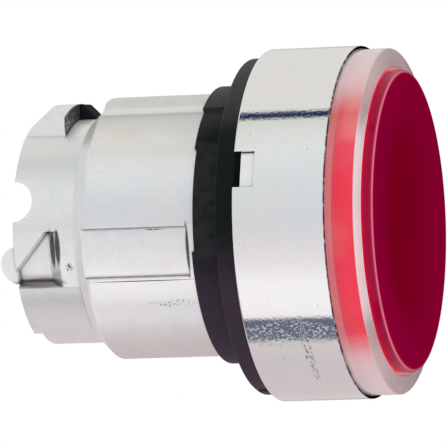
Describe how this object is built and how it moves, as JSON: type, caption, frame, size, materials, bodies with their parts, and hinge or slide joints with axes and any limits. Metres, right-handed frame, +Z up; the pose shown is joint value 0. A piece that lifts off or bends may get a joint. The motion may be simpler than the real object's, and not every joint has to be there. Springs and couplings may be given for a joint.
{
  "type": "illuminated push button head",
  "caption": "Illuminated flush push-button head: red lens in a clear ring, bright round bezel, black panel gasket and a metal barrel with a bayonet tail.",
  "frame": {"origin": "on the button's axis at the panel's front face, which is the gasket flange's rear face", "axes": "+Y along the button's axis into the panel, the lens faces -Y, and +Z is up, towards the rib on the barrel"},
  "size_m": [0.0292, 0.0328, 0.0292],
  "materials": {
    "zinc_body": "satin plated zinc casting",
    "chrome_bezel": "bright chrome plate",
    "clear_guard": "clear polished polycarbonate",
    "red_lens": "translucent red, polished",
    "white_plastic": "natural white moulding",
    "black_plastic": "black moulding",
    "black_rubber": "matt black nitrile",
    "spring_steel": "bright spring steel"
  },
  "bodies": {
    "housing": {"barrel_body": "zinc_body", "bayonet_stop": "black_plastic", "bezel_ring": "chrome_bezel", "guard_ring": "clear_guard", "guard_seal": "black_rubber", "body_o_ring": "black_rubber", "panel_gasket": "black_rubber", "diaphragm_seal": "black_rubber", "diaphragm_retainer": "spring_steel", "guide_bush": "white_plastic", "anti_turn_pin": "spring_steel", "spring_seat": "spring_steel", "return_spring": "spring_steel"},
    "plunger": {"lens_cap": "red_lens", "lens_seal": "black_rubber", "diffuser_disc": "white_plastic", "legend_insert": "white_plastic", "lens_carrier": "black_plastic", "diaphragm_clamp_ring": "spring_steel", "pusher_sleeve": "black_plastic", "stop_washer": "black_rubber", "pusher_clip": "spring_steel"}
  },
  "joints": [
    {"name": "press_slide", "type": "slide", "parent": "housing", "child": "plunger", "axis": [0, 1, 0], "range_m": [0, 0.0043], "stiffness_N_per_m": 500, "springref_m": -0.003, "deforming": ["return_spring", "diaphragm_seal"]}
  ]
}
